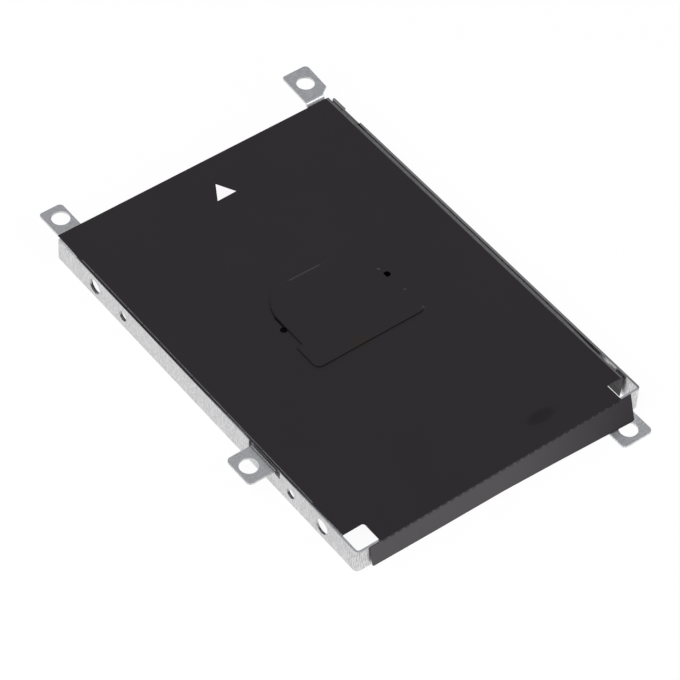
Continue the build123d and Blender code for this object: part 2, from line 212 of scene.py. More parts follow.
def steel_finish():
    steel = Finish(bpy.data.materials.new("galvanised_steel"))
    x, y, z = steel.axes()
    lean = abs(steel.facing()[2])
    level = lean > LEVEL_LEAN
    across = y * GRAIN_ACROSS
    on_walls = steel.noise(x * GRAIN_ACROSS, across, z * GRAIN_ALONG, 1.0, **SPECKLE)
    on_ears = steel.noise(x * GRAIN_ALONG, across, z, 1.0, **SPECKLE)
    grain = on_walls + level * (on_ears - on_walls)
    mottle = steel.noise(x, y, z, MOTTLE, **SPECKLE)
    shade = grain * GRAIN_SHARE + mottle * (1 - GRAIN_SHARE)
    near = (y < NEAR_END_Y) * (1 - level) * (grain - 0.5) * NEAR_CONTRAST
    shade = (shade - DARKEST) * CONTRAST + near
    # the bluer colour on level faces is a painted reflection of the sky
    bright = steel.blend(
        level, steel.blend(shade, *ZINC_UPRIGHT), steel.blend(shade, *ZINC_LEVEL_SKY_TINT))
    # painted shade: the right flange's fold and the right wall's sheared top are painted dark grey
    folded = (lean > FOLD_LEAN) * (x > FLANGE_X) * y.within(*FLANGE_Y)
    shaded_top_edge = (lean > TOP_LEAN) * (x > WALL_TOP_X) * z.within(*WALL_TOP_Z)
    fold_and_top_shade = steel.blend(folded, TOP_EDGE_STEEL_AND_SHADE, FOLD_PAINTED_SHADE)
    zinc_with_painted_shade = steel.blend(folded + shaded_top_edge, bright, fold_and_top_shade)
    # painted shade: near black on the wall's inner face in the gap beside the film's far right edge
    gap_shade = x.within(*GAP_X) * (y > GAP_Y) * (z < GAP_Z)
    matt = lean.within(*BEND_LEAN) * (x < EAR_X) * y.within(*EAR_Y) * (z > EAR_Z)
    steel.set(
        Base_Color=steel.blend(gap_shade, zinc_with_painted_shade, GAP_PAINTED_SHADE),
        Metallic=1.0 - MATT * matt,
        Roughness=0.3 + 0.2 * grain,
        Normal=steel.bump(grain, strength=0.35, distance=0.02 * MM),
    )
    return steel.data


def paint(names, material):
    """Puts a material in each slot of some CAD nodes."""
    slots = [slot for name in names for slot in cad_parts[name].material_slots]
    for slot in slots:
        slot.material = material
    print(material.name, "in", len(slots), "slots of", *names)


paint(["caddy_frame"], steel_finish())

# %% [markdown]
# ## Adhesive
# The film is held with clear double-sided tape. Clear tape takes the dark of the black film behind
# it, so it hardly shows at an edge.

# %% Adhesive finish
TAPE = (0.012, 0.012, 0.013), (0.022, 0.021, 0.023)


def adhesive_finish():
    tape = Finish(bpy.data.materials.new("adhesive"))
    cloud = tape.noise(*tape.axes(), scale=0.8, detail=3.0)
    tape.set(Base_Color=tape.blend(cloud, *TAPE), Roughness=0.35 + 0.2 * cloud)
    return tape.data


paint([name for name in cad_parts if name.endswith("_adhesive")], adhesive_finish())

# %% [markdown]
# ## Black film
# The film is black polyester with a satin face. It is nearly black, and most of what the eye sees
# is the soft reflection of the room. Along the left crease and over the broad right fold, pale grey
# streaks are a painted highlight. The right flap's lower part is painted paler too, and so is a
# strip at the middle of the pull tab's round end: painted light. The front flap is painted paler,
# fully at the left and fading out to the right: a painted sheen for the light that the sloping flap
# catches. Handling has left five faint marks. A picture could hold all this, but masks made from
# the place are sharp at any distance.

# %% Film finish
FILM_BLACK = (0.0056, 0.0044, 0.0054), (0.0084, 0.0070, 0.0086)
# painted light: the pale grey of the painted highlights on the folds, the right flap and the tab
FILM_PAINTED_LIGHT = (0.13, 0.13, 0.135)
# painted sheen: the front flap is painted paler, fully at the left and fading out to the right
FILM_FLAP_SHEEN = (0.041, 0.036, 0.040)
SHEEN_Y = -49.5
SHEEN_FULL, SHEEN_FULL_X, SHEEN_FADE = 1.12, 4, 24
STREAK_WAVES = 4, 0.5  # in a millimetre, across the fold and along it
# painted highlight: pale streaks along the left crease and over the right fold
LEFT_CREASE_X, LEFT_CREASE_Y = (-35.27, -35.12), (-34.5, 43.5)
RIGHT_CREASE_X, RIGHT_CREASE_Z = 34.0, 5.3
# painted light: the right flap's lower part is painted paler
RIGHT_FLAP_X, RIGHT_FLAP_Z = 34.5, 5.0
# painted highlight: a paler strip at the middle of the pull tab's round end
TAB_EDGE_X, TAB_EDGE_Y, TAB_EDGE_Z = (-4.3, 3.4), 13.9, 6.12
MARKS = (  # place, reach along X and Y, colour
    (14.6, -43.4, 4.0, 1.8, (0.0008, 0.0007, 0.0008)),
    (-2.6, -7.4, 2.6, 1.9, (0.0085, 0.0060, 0.0035)),
    (12.6, 6.2, 0.45, 0.45, (0.04, 0.038, 0.04)),
    (13.5, -1.3, 0.5, 0.4, (0.03, 0.028, 0.03)),
    (13.6, -7.4, 0.5, 0.5, (0.025, 0.023, 0.025)),
)


def film_finish():
    film = Finish(bpy.data.materials.new("black_film"))
    x, y, z = film.axes()
    haze = film.noise(x, y, z, scale=0.05, detail=3.0, roughness=0.6)
    fine = film.noise(x, y, z, scale=9.0, detail=2.0)
    across, along = STREAK_WAVES
    streaks = film.noise(x * across, y * along, z * across, 1.0, detail=3.0, roughness=0.7)
    black = film.blend(haze, *FILM_BLACK)
    for mark_x, mark_y, reach_x, reach_y, colour in MARKS:
        aside, beyond = (x - mark_x) / reach_x, (y - mark_y) / reach_y
        inside = 1.0 - (aside * aside + beyond * beyond)
        black = film.blend(inside * (inside > 0.0) * 1.5, black, colour)
    # painted highlight: pale streaks along the left crease and over the right fold
    left_crease = x.within(*LEFT_CREASE_X) * y.within(*LEFT_CREASE_Y)
    right_crease = (x > RIGHT_CREASE_X) * (z > RIGHT_CREASE_Z)
    # painted light: the right flap's lower part is painted paler
    right_flap = (x > RIGHT_FLAP_X) * (z < RIGHT_FLAP_Z)
    # painted highlight: a paler strip at the middle of the pull tab's round end
    tab_edge = x.within(*TAB_EDGE_X) * (y > TAB_EDGE_Y) * (z > TAB_EDGE_Z)
    painted_light = left_crease * streaks * 1.8 + right_crease * streaks * 1.5
    painted_light = painted_light + right_flap * 0.6 + tab_edge * 0.18
    # painted sheen: the front flap is painted paler, fully at the left and fading out to the right
    past = x - SHEEN_FULL_X
    flap_sheen = (y < SHEEN_Y) * (SHEEN_FULL - (past > 0) * past / SHEEN_FADE)
    film.set(
        Base_Color=film.blend(flap_sheen * 0.8, film.blend(painted_light, black, FILM_PAINTED_LIGHT), FILM_FLAP_SHEEN),
        Roughness=0.36 + 0.08 * haze + 0.05 * fine,
        Specular_IOR_Level=0.46,
        Specular_Tint=(1.0, 0.94, 1.0, 1.0),
        Normal=film.bump(fine, strength=0.1, distance=0.004 * MM),
    )
    return film.data


film_black = film_finish()
print(film_black.name, "with", len(MARKS), "marks")

# %% [markdown]
# The edge where the film was cut is nearly as black as its face, and rough. It has a finish of its
# own, because a thin light or dark line at an edge is what shows that a sheet has a thickness.

# %% Finish of the film's cut edge
CUT_EDGE = (0.006, 0.005, 0.006), (0.02, 0.019, 0.02)


def cut_edge_finish():
    edge = Finish(bpy.data.materials.new("film_cut_edge"))
    ragged = edge.noise(*edge.axes(), scale=2.2, detail=3.0, roughness=0.7)
    edge.set(Base_Color=edge.blend(ragged, *CUT_EDGE), Roughness=0.4 + 0.1 * ragged)
    return edge.data


film_edge = cut_edge_finish()
print(film_edge.name, "ready")

# %% [markdown]
# ## Helpers for sheets
# Every thin piece starts as one flat face. Cutting it with planes (bisect) puts edges exactly where
# a window, a notch or a row of perforations needs them, and the faces inside are deleted. A boolean
# would cut them too, but on a thin open sheet it easily leaves slivers.

# %% Cut a sheet
TINY = 1e-3  # places closer than this, in millimetres, are the same


def flat_sheet(points):
    """A bmesh with one face through these points, in millimetres."""
    mesh = bmesh.new()
    mesh.faces.new([mesh.verts.new(point) for point in points])
    return mesh


def cut_along(mesh, point, normal, faces):
    """Cuts some faces with a plane. dict.fromkeys drops repeats and keeps the order."""
    parts = dict.fromkeys(edge for face in faces for edge in face.edges)
    ends = dict.fromkeys(vert for face in faces for vert in face.verts)
    geometry = [*ends, *parts, *faces]
    bmesh.ops.bisect_plane(mesh, geom=geometry, dist=TINY / 100, plane_co=point, plane_no=normal)


def cut(mesh, axis, place, faces=None):
    """Cuts the mesh, or some of its faces, with a plane across an axis."""
    normal = Vector([1.0 if axis == name else 0.0 for name in "xyz"])
    cut_along(mesh, normal * place, normal, mesh.faces[:] if faces is None else faces)


def drop_faces(mesh, chosen):
    """Deletes the faces whose middle the test picks."""
    unwanted = [face for face in mesh.faces if chosen(face.calc_center_median())]
    bmesh.ops.delete(mesh, geom=unwanted, context="FACES")
    return len(unwanted)


print("helpers to cut a sheet ready")

# %% [markdown]
# ## Round shapes
# A hole in a grid of faces is cut with planes that touch its round, and then the faces inside are
# deleted. The corner of a flat outline is simpler: its point is beveled.

# %% Round shapes in a sheet
FLAT_AXES = {"x": ((0, 1, 0), (0, 0, 1)), "z": ((1, 0, 0), (0, 1, 0))}


def round_hole(mesh, across, centre, radius, near, sides=16):
    """Cuts a hole round a centre. across is its axis, near picks the faces it may touch."""
    first, second = [Vector(axis) for axis in FLAT_AXES[across]]
    centre = Vector(centre)
    angles = [2 * math.pi * step / sides for step in range(sides)]
    outward = [first * math.cos(angle) + second * math.sin(angle) for angle in angles]
    for direction in outward:
        touched = [face for face in mesh.faces if near(face.calc_center_median())]
        cut_along(mesh, centre + direction * radius, direction, touched)
    return drop_faces(
        mesh, lambda p: near(p) and all((p - centre).dot(d) < radius for d in outward)
    )


def round_corners(mesh, corners, radius, segments):
    """Bevels some points of a flat outline."""
    bmesh.ops.bevel(
        mesh, geom=corners, offset=radius, offset_type="OFFSET", segments=segments,
        profile=0.5, affect="VERTICES", material=-1,
    )


print("helpers for round shapes ready")

# %% [markdown]
# ## Folds
# A real fold is a bend round a small radius. Spinning a boundary edge by a quarter turn gives that
# bend, and extruding the last edge gives the flap that hangs from it.

# %% Fold a sheet
def middle(edge):
    return (edge.verts[0].co + edge.verts[1].co) / 2


def boundary(mesh, chosen):
    """The boundary edges whose two ends both pass the test."""
    return [e for e in mesh.edges if e.is_boundary and all(chosen(v.co) for v in e.verts)]


def fold_down(mesh, edges, centre, axis, steps):
    """Spins edges round a fold by a quarter turn and returns the last row of edges."""
    made = bmesh.ops.spin(
        mesh, geom=edges, cent=centre, axis=axis, angle=math.pi / 2, steps=steps, use_merge=False
    )
    return [part for part in made["geom_last"] if isinstance(part, bmesh.types.BMEdge)]


def pull(mesh, edges, away):
    """Extrudes edges, moves the new row away, and returns the new row of edges."""
    made = bmesh.ops.extrude_edge_only(mesh, edges=edges)["geom"]
    new = [part for part in made if isinstance(part, bmesh.types.BMVert)]
    bmesh.ops.translate(mesh, verts=new, vec=away)
    return [part for part in made if isinstance(part, bmesh.types.BMEdge) and part.is_boundary
            and all(v in new for v in part.verts)]


print("helpers to fold a sheet ready")

# %% [markdown]
# ## From a sheet to a piece
# A finished sheet becomes an object. The Solidify modifier gives it its thickness, downwards,
# because the faces are the top of the sheet. The last material goes on the cut edge.

# %% From a sheet to a piece
def finished(mesh, name, materials, thickness):
    """Turns a bmesh in millimetres into an object in metres that rides on the frame."""
    bmesh.ops.scale(mesh, vec=(MM, MM, MM), verts=mesh.verts)
    data = bpy.data.meshes.new(name)
    mesh.to_mesh(data)
    mesh.free()
    piece = bpy.data.objects.new(name, data)
    bpy.context.scene.collection.objects.link(piece)
    for material in materials:
        data.materials.append(material)
    solid = piece.modifiers.new("thickness", "SOLIDIFY")
    solid.thickness = thickness * MM
    solid.offset = -1
    solid.material_offset_rim = len(materials) - 1
    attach(piece, "root")
    print(name, len(data.vertices), "vertices", len(data.polygons), "faces")
    return piece


print("helper for pieces ready")

# %% [markdown]
# ## The film's panel
# The panel is flat, but a real film never lies perfectly still: it waves by a few hundredths of a
# millimetre, and its soft reflections show that. A slow noise lifts the inside of the panel and
# fades out towards the folds, where the film is held. In the tables here, -1 is the left side and
# 1 the right one. The crown is where the panel ends and the fold begins.

# %% Film sizes and the wave
FILM = 0.15
FILM_TOP = 6.05
FAR_Y = 52.0
FRONT_Y = -49.4
CROWN = {-1: 34.85, 1: 33.95}
WAVE = 0.05
WAVE_LENGTH = (19, 23)
WAVE_START = (3.1, 7.7, 0.4)
HELD_X, HELD_Y = 7, 5  # so far from an edge the film is free to wave


def wave(x, y):
    """How far the film's face lies above or below its flat place."""
    across = min(CROWN[-1] + x, CROWN[1] - x) / HELD_X
    along = min(FAR_Y - y, y - FRONT_Y) / HELD_Y
    free = max(min(across, along, 1.0), 0.0)
    start_x, start_y, start_z = WAVE_START
    slow = noise.noise(
        Vector((x / WAVE_LENGTH[0] + start_x, y / WAVE_LENGTH[1] + start_y, start_z))
    )
    return WAVE * slow * free * free * (3 - 2 * free)


print("film wave at the middle:", round(wave(0, 0), 4), "mm")

# %% [markdown]
# ## Perforated folds
# The film is folded along rows of cuts. Between the cuts the film bends round; at a cut, panel and
# flap both stay straight. The front fold has short cuts, so the panel's edge shows small teeth. The
# left fold has long ones, so the panel runs on as a lip that lies over the wall's top. The right
# fold has none and bends round broadly.

# %% Where the cuts are
FLAP_START = {-1: -35.3, 1: -45.1}
FLAP_END = {-1: 44.65, 1: 41.85}
FLAP_TOP_X = 32.85
LEFT_PITCH, LEFT_CUT, LEFT_SPREAD = 5.71, 5.58, 0.004
FRONT_PITCH, FRONT_CUT, FRONT_SPREAD = 1.83, 1.0, 0.06
SHIFT = 0.6  # a cut's place differs by this share of the spread
dice = random.Random(7)


def row_of_cuts(start, end, pitch, length, spread):
    """The cuts from start to end. spread is how much they differ in length and place."""
    count = int((end - start) / pitch)
    rest = (end - start - count * pitch) / 2
    cuts = []
    for number in range(count):
        centre = start + rest + (number + 0.5) * pitch
        centre += dice.uniform(-SHIFT, SHIFT) * spread * pitch
        half = length * (1 + dice.uniform(-spread, spread)) / 2
        cuts.append((centre - half, centre + half))
    return cuts


def in_cuts(cuts, place):
    return any(low < place < high for low, high in cuts)


left_cuts = row_of_cuts(FLAP_START[-1], FLAP_END[-1], LEFT_PITCH, LEFT_CUT, LEFT_SPREAD)
front_cuts = row_of_cuts(-FLAP_TOP_X, FLAP_TOP_X, FRONT_PITCH, FRONT_CUT, FRONT_SPREAD)
print(len(left_cuts), "cuts on the left,", len(front_cuts), "in front")

# %% [markdown]
# ## Cutting the panel
# Planes cut the one flat face into a grid. Some lines of it are the ends of windows, flaps, notch
# and cuts; the even ones along Y only make the faces small enough to wave.

# %% Panel grid
LEFT_WINDOW = (-30.25, -44.15)
RIGHT_WINDOW = (30.45, -45.1)
NOTCH = (-42.1, -37.7)
EVEN_LINES = range(-42, 52, 2)

film = flat_sheet([
    (-CROWN[-1], FRONT_Y, FILM_TOP),
    (CROWN[1], FRONT_Y, FILM_TOP),
    (CROWN[1], FAR_Y, FILM_TOP),
    (-CROWN[-1], FAR_Y, FILM_TOP),
])
x_lines = [LEFT_WINDOW[0], RIGHT_WINDOW[0], -FLAP_TOP_X, FLAP_TOP_X]
x_lines += [end for pair in front_cuts for end in pair]
y_lines = [LEFT_WINDOW[1], RIGHT_WINDOW[1], *FLAP_START.values(), *FLAP_END.values(), *NOTCH]
y_lines += [end for pair in left_cuts for end in pair]
y_lines += EVEN_LINES
for place in x_lines:
    cut(film, "x", place)
for place in y_lines:
    cut(film, "y", place)
print("panel grid:", len(film.faces), "faces")

# %% [markdown]
# ## Side folds and flaps
# The boundary is extruded: down round each side fold with a spin, and then straight down as a flap.
# The right flap's foot leans in.

# %% Fold the sides
FOLD_RADIUS = {-1: 0.3, 1: 0.9}
FOLD_STEPS = {-1: 4, 1: 7}
FLAP_BOTTOM = {-1: 0.6, 1: 0.05}
FOOT_LEAN = {-1: 0.0, 1: -0.3}
FLAP_ROWS = (0.2, 0.3, 0.5)  # shares of the flap's height


def side_edges(mesh, side, low, high):
    """The panel's boundary edges on one side, between two places along Y."""
    found = []
    for edge in mesh.edges:
        place = middle(edge)
        at_side = abs(place.x - side * CROWN[side]) < TINY and place.z > FILM_TOP - TINY
        if edge.is_boundary and at_side and low < place.y < high:
            found.append(edge)
    return found


for side in (-1, 1):
    radius = FOLD_RADIUS[side]
    centre = (side * CROWN[side], 0, FILM_TOP - radius)
    folded = side_edges(film, side, FLAP_START[side], FLAP_END[side])
    last = fold_down(film, folded, centre, (0, side, 0), FOLD_STEPS[side])
    drop = FILM_TOP - radius - FLAP_BOTTOM[side]
    for share in FLAP_ROWS:
        last = pull(film, last, (FOOT_LEAN[side] * share, 0, -drop * share))
print("with side flaps:", len(film.faces), "faces")

# %% [markdown]
# ## The lip on the left
# At the long cuts the left fold's faces are deleted, and the panel's free edge is pulled out as a
# lip. A table gives how far it reaches over the wall's top at each place along Y.

# %% Left lip
LIP = (
    (-49.4, 35.3), (-40.0, 35.32), (-37.0, 35.38), (-34.0, 35.44), (-31.0, 35.52), (-28.0, 35.6),
    (-15.0, 35.6), (-13.0, 35.38), (-6.0, 35.52), (0.0, 35.66), (5.0, 35.72), (11.0, 35.77),
    (27.0, 35.76), (35.0, 35.71), (39.0, 35.61), (44.0, 35.55), (48.0, 35.42), (52.0, 35.4),
)
LIP_ROWS = ((-0.3, 0, 0), (-0.1, 0, -0.01), (-0.1, 0, -0.07))


def between(table, place):
    """Reads a table of (place, value) pairs, with straight lines between them."""
    for (p0, v0), (p1, v1) in zip(table, table[1:]):
        if place <= p1:
            return v0 + (v1 - v0) * max(place - p0, 0.0) / (p1 - p0)
    return table[-1][1]


opened = drop_faces(film, lambda p: p.x < -CROWN[-1] - TINY
                    and FILM_TOP - FOLD_RADIUS[-1] < p.z and in_cuts(left_cuts, p.y))
lip = side_edges(film, -1, FRONT_Y, FAR_Y)
for row in LIP_ROWS:
    lip = pull(film, lip, row)
for vert in {v for edge in lip for v in edge.verts}:
    vert.co.x = -between(LIP, vert.co.y)
print(opened, "faces of the left fold opened")

# %% [markdown]
# ## The right side
# The broad right fold swells from its near end until it touches the wall. Where the panel isn't
# folded on this side, its edge is pulled out nearly flat.

# %% Right bulge and edge
BULGE = ((-36.0, 0.0), (-27.0, 0.38), (52.0, 0.38))
RIGHT_EDGE = 34.65
EDGE_SAG = (0.03, 0.05)

for vert in film.verts:
    if vert.co.x > CROWN[1] + TINY:
        share = min((vert.co.x - CROWN[1]) / FOLD_RADIUS[1], 1.0)
        vert.co.x += between(BULGE, vert.co.y) * share
free = side_edges(film, 1, FRONT_Y, FAR_Y)
for sag in EDGE_SAG:
    free = pull(film, free, ((RIGHT_EDGE - CROWN[1]) / 2, 0, -sag))
print("with both sides:", len(film.faces), "faces")

# %% [markdown]
# ## The front flap
# It hangs from the front fold and was never pressed flat: it stands off the wall, more and more
# towards the right. It is first extruded straight down, and its two bottom corners are rounded.

# %% Front flap
FRONT_RADIUS = 0.2
FLAP_LENGTH = 5.75
FRONT_ROWS = 4
FLAP_CORNER = 0.45

hinge = Vector((0, FRONT_Y, FILM_TOP - FRONT_RADIUS))
front = boundary(
    film, lambda p: abs(p.y - FRONT_Y) < TINY and abs(p.x) < FLAP_TOP_X + TINY)
last = fold_down(film, front, hinge, (1, 0, 0), 4)
for row in range(FRONT_ROWS):
    last = pull(film, last, (0, 0, -FLAP_LENGTH / FRONT_ROWS))
bottom = hinge.z - FLAP_LENGTH
corners = [v for v in film.verts
           if v.co.z < bottom + TINY and abs(abs(v.co.x) - FLAP_TOP_X) < TINY]
round_corners(film, corners, FLAP_CORNER, 4)
print("with front flap:", len(film.faces), "faces;", len(corners), "corners rounded")

# %% [markdown]
# ## Opening the front perforations
# At each cut the faces of the fold are deleted. The panel's free edge is then pulled out flat,
# which gives the row of teeth, and the flap's edge stays below it.

# %% Front perforations
FRONT_TOOTH = 0.45

opened = drop_faces(film, lambda p: p.y < FRONT_Y - TINY and p.z > FILM_TOP - FRONT_RADIUS
                    and abs(p.x) < -LEFT_WINDOW[0] and in_cuts(front_cuts, p.x))
panel_front = boundary(
    film, lambda p: abs(p.y - FRONT_Y) < TINY and abs(p.z - FILM_TOP) < TINY)
teeth = [edge for edge in panel_front if in_cuts(front_cuts, middle(edge).x)]
pull(film, teeth, (0, -FRONT_TOOTH, 0))
print(opened, "faces of the front fold opened,", len(teeth), "edges pulled out")

# %% [markdown]
# ## Turning the front flap
# Every point of the flap is turned about the fold by the angle that belongs to its place along X,
# and the flap gets a little narrower towards its foot.

# %% Turn the front flap to its flare
FLARE = ((0.0, 4.5), (0.25, 7.0), (0.5, 8.5), (0.7, 14.0), (0.88, 21.0), (1.0, 27.0))
FLAP_NARROWER = 0.6  # at the foot, on each side


def flare(x):
    """The angle in degrees that the flap stands off the wall at this place."""
    return between(FLARE, (x + FLAP_TOP_X) / (2 * FLAP_TOP_X))


for vert in film.verts:
    if vert.co.y < FRONT_Y - TINY / 10 and vert.co.z < FILM_TOP - TINY / 10:
        away = Vector((0, vert.co.y - hinge.y, vert.co.z - hinge.z))
        depth = max(0.0, -away.z)
        bent = math.atan2(-away.y, max(away.z, 0.0)) / (math.pi / 2)
        turned = Matrix.Rotation(-math.radians(flare(vert.co.x)) * bent, 3, "X") @ away
        narrow = 1 - FLAP_NARROWER * depth / FLAP_LENGTH / FLAP_TOP_X
        vert.co = Vector((vert.co.x * narrow, hinge.y + turned.y, hinge.z + turned.z))
print("the flap reaches", round(min(v.co.y for v in film.verts), 2), "mm forward")

# %% [markdown]
# ## Windows and notch
# Two corner windows leave the frame's front corners bare. The round of each window's inner corner
# is cut with a few planes that touch the round. A notch opens the right fold near its near end.

# %% Open the windows and the notch
WINDOW_ANGLES = (0.0, 0.39, 0.79, 1.18, 1.57)  # the first and last edges are there already
WINDOW_FLOOR = 5.7
WINDOW_REACH = 2  # beyond the corner's round, for the faces that its planes cut
NOTCH_BOTTOM = 4.45
NOTCH_CUT, NOTCH_DEPTH = 0.5, 0.68  # outside of the crown


def open_window(mesh, corner, side, radius):
    """Deletes the panel's corner outside of the given inner corner, which is rounded."""
    corner_x, corner_y = corner
    centre = Vector((corner_x + side * radius, corner_y - radius, FILM_TOP))
    outward = [Vector((-side * math.cos(a), math.sin(a), 0)) for a in WINDOW_ANGLES]

    def in_window(p):
        beyond = side * (p.x - corner_x) > 0 and FRONT_Y < p.y < corner_y
        return beyond and p.z > WINDOW_FLOOR

    def touched(p):
        return in_window(p) and (p - centre).length < radius + WINDOW_REACH

    for direction in outward[1:-1]:
        faces = [face for face in mesh.faces if touched(face.calc_center_median())]
        cut_along(mesh, centre + direction * radius, direction, faces)
    return drop_faces(
        mesh, lambda p: in_window(p) and all((p - centre).dot(d) < radius for d in outward)
    )


opened = open_window(film, LEFT_WINDOW, -1, radius=0.6)
opened += open_window(film, RIGHT_WINDOW, 1, radius=0.3)
beside = [face for face in film.faces
          if face.calc_center_median().x > CROWN[1] + NOTCH_CUT]
cut(film, "z", NOTCH_BOTTOM, beside)
opened += drop_faces(film, lambda p: p.x > CROWN[1] + NOTCH_DEPTH and p.z > NOTCH_BOTTOM
                     and NOTCH[0] < p.y < NOTCH[1])
print(opened, "faces removed for windows and notch")

# %% [markdown]
# ## Round holes
# The side flaps have round openings behind the holes of the frame, wherever a flap would cover
# one. Two relief holes sit beside the pull tab, probably to stop the film from tearing there.

# %% Open the round holes
SIDE_HOLES = ((38.3, 1.9), (28.3, 1.4), (-28.3, 1.5), (-38.3, 2.1))  # place along Y, radius
HOLE_X, HOLE_Z, HOLE_REACH = 35, 2.9, 1.5
FLAP_INNER_X, FLAP_HIGH = 34.4, 5.1
TAB_X = 0.05
RELIEF_X, RELIEF_Y = 13.2, 4.2
RELIEF_RADIUS, RELIEF_REACH = 0.75, 2.5

opened = 0
for side in (-1, 1):
    for y, radius in SIDE_HOLES:
        if y > FLAP_START[side]:
            opened += round_hole(
                film, "x", (side * HOLE_X, y, HOLE_Z), radius,
                lambda p: side * p.x > FLAP_INNER_X and p.z < FLAP_HIGH
                and abs(p.y - y) < radius + HOLE_REACH)
    relief_x = TAB_X + side * RELIEF_X
    opened += round_hole(
        film, "z", (relief_x, RELIEF_Y, FILM_TOP), RELIEF_RADIUS,
        lambda p: abs(p.x - relief_x) < RELIEF_REACH and abs(p.y - RELIEF_Y) < RELIEF_REACH)
print(opened, "faces removed for round holes")

# %% [markdown]
# ## Slit
# A slit runs from the left relief hole along the tab. It is a long narrow window, so four planes
# cut it. Many planes cross near the holes, so points that nearly touch are merged at the end. Which
# of two such points stays depends on their order, and spin's order changes from run to run, so one
# point at a relief hole can differ by 0.02 mm between two runs.

# %% Open the slit and merge
SLIT_X = TAB_X - 12.75
SLIT_HALF = 0.15
SLIT_END = RELIEF_Y + 3.8
AROUND_X, AROUND_Y = 3, 5  # the faces and points that count as near
SLIT_MIDDLE, MERGE_MIDDLE = RELIEF_Y + 2, 6
PANEL_LOW = 5.8
MERGE = 0.03


def near_slit():
    """The faces round the slit, the only ones that its edges cut."""
    middles = [(face, face.calc_center_median()) for face in film.faces]
    return [face for face, p in middles if abs(p.x - SLIT_X) < AROUND_X
            and abs(p.y - SLIT_MIDDLE) < AROUND_Y and p.z > PANEL_LOW]


for place in (SLIT_X - SLIT_HALF, SLIT_X + SLIT_HALF):
    cut(film, "x", place, near_slit())
for place in (RELIEF_Y, SLIT_END):
    cut(film, "y", place, near_slit())
opened = drop_faces(
    film, lambda p: abs(p.x - SLIT_X) < SLIT_HALF and RELIEF_Y < p.y < SLIT_END)
near_holes = [v for v in film.verts
              if abs(abs(v.co.x) - RELIEF_X) < AROUND_X and abs(v.co.y - MERGE_MIDDLE) < AROUND_Y]
bmesh.ops.remove_doubles(film, verts=near_holes, dist=MERGE)
bmesh.ops.dissolve_degenerate(film, edges=film.edges, dist=TINY)
print(opened, "faces removed for the slit")

# %% [markdown]
# ## The finished film
# Last, the panel is waved. The film stands in for the CAD node of the same sheet.

# %% Wave the panel and finish the film
for vert in film.verts:
    if vert.co.z > FILM_TOP - TINY:
        vert.co.z += wave(vert.co.x, vert.co.y)
film_piece = finished(film, "film", [film_black, film_edge], FILM)
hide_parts("insulating_film")

# %% [markdown]
# ## Pull tab
# The tab is a second piece of the same film. Its wide base is glued down, its end is free and
# springs up a little at the far left. One outline is beveled at its corners, cut into a grid, and
# then lifted.

# %% How the tab springs up
TAB_Y = -8.0
SPRING = 0.30  # the rise at the far left
SPRING_FROM, SPRING_OVER = 8, 14  # where along the tab it begins, and over what length
SPRING_RIGHT, SPRING_ACROSS = 4, 16  # where across the tab it begins, and over what width
RISE = 0.04  # the rise of the whole end
ROLL, ROLL_FROM, ROLL_OVER = 0.1, 21.9, 0.4  # the very end rolls down


def lift(x, y):
    """How far the tab's free end springs up."""
    along = min(max((y - TAB_Y - SPRING_FROM) / SPRING_OVER, 0.0), 1.0)
    across = min(max((TAB_X + SPRING_RIGHT - x) / SPRING_ACROSS, 0.0), 1.0)
    rolled = max(y - TAB_Y - ROLL_FROM, 0.0) / ROLL_OVER
    return SPRING * along * along * across + RISE * along - ROLL * rolled * rolled


far_left = (TAB_X + SPRING_RIGHT - SPRING_ACROSS, TAB_Y + ROLL_FROM)
print("the tab's far left lifts by", round(lift(*far_left), 2), "mm")

# %% [markdown]
# ## The tab's outline
# It has a wide base with shoulders and a tongue with a round end. A line each millimetre lets it
# bend softly, and two more near the tip let the edge roll down.

# %% Pull tab
ADHESIVE = 0.1
TAB_Z = FILM_TOP + ADHESIVE + FILM
BASE_HALF, BASE_LENGTH, BASE_CORNER = 27.9 / 2, 6.8, 1.5
TAB_HALF, TAB_LENGTH, TAB_CORNER = 25.0 / 2, 22.3, 7.0
CORNER_STEPS = 12
LINES_ACROSS = range(1, 28)
LINES_ALONG = (*range(1, 23), ROLL_FROM, 22.1)

shoulder, tip = TAB_Y + BASE_LENGTH, TAB_Y + TAB_LENGTH
tab = flat_sheet([
    (TAB_X - BASE_HALF, TAB_Y, TAB_Z), (TAB_X + BASE_HALF, TAB_Y, TAB_Z),
    (TAB_X + BASE_HALF, shoulder, TAB_Z), (TAB_X + TAB_HALF, shoulder, TAB_Z),
    (TAB_X + TAB_HALF, tip, TAB_Z), (TAB_X - TAB_HALF, tip, TAB_Z),
    (TAB_X - TAB_HALF, shoulder, TAB_Z), (TAB_X - BASE_HALF, shoulder, TAB_Z),
])
for y, radius in ((TAB_Y, BASE_CORNER), (tip, TAB_CORNER)):
    round_corners(tab, [v for v in tab.verts if abs(v.co.y - y) < TINY], radius, CORNER_STEPS)
for number in LINES_ACROSS:
    cut(tab, "x", TAB_X - BASE_HALF + number)
for number in LINES_ALONG:
    cut(tab, "y", TAB_Y + number)
for vert in tab.verts:
    vert.co.z += lift(vert.co.x, vert.co.y) + wave(vert.co.x, vert.co.y)
tab_piece = finished(tab, "tab", [film_black, film_edge], FILM)
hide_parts("pull_tab")

# %% [markdown]
# ## Printed arrow
# White ink shows which way the drive goes in. Ink is a few hundredths of a millimetre thick, so the
# arrow is a small sheet that follows the film's wave.

# %% Arrow
INK = (0.88, 0.87, 0.88), (0.95, 0.94, 0.95)
INK_THICKNESS = 0.018
INK_ABOVE = 0.02
ARROW = ((-2.85, 40.85), (1.95, 40.95), (-0.35, 45.05))
ARROW_LINES = range(1, 5)


